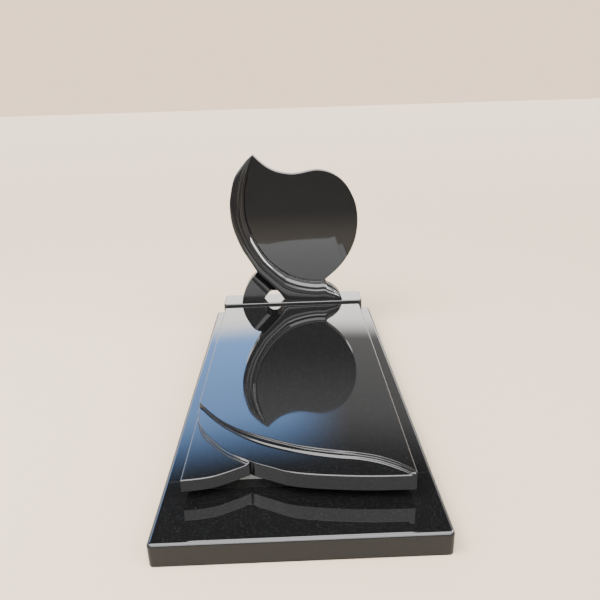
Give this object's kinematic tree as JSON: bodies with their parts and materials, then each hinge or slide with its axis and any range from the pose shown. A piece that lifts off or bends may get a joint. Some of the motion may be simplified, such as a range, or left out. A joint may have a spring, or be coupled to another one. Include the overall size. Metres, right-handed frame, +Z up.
{
  "type": "kerbed memorial",
  "caption": "Grave memorial: low kerb frame, raised cover slab carved with a leaf and a moulding, and a leaf-shaped headstone with a crescent moulding and a disc on a low plinth.",
  "frame": {"origin": "centre of the kerb's footprint at ground level", "axes": "+X across the memorial to the right seen from its foot, +Y from the foot end to the headstone, +Z up"},
  "size_m": [1, 2, 1.108],
  "materials": {
    "polished_granite": "black granite, mirror polished, fine grey speckle",
    "sawn_granite": "light grey granite, sawn"
  },
  "bodies": {
    "root": {"kerb_front": "polished_granite", "kerb_left": "polished_granite", "kerb_right": "polished_granite", "kerb_rear": "polished_granite", "bearer_front": "sawn_granite", "bearer_left": "sawn_granite", "bearer_right": "sawn_granite", "bearer_rear": "sawn_granite", "cover_slab": "polished_granite", "headstone_plinth": "polished_granite", "headstone": "polished_granite"}
  },
  "joints": []
}
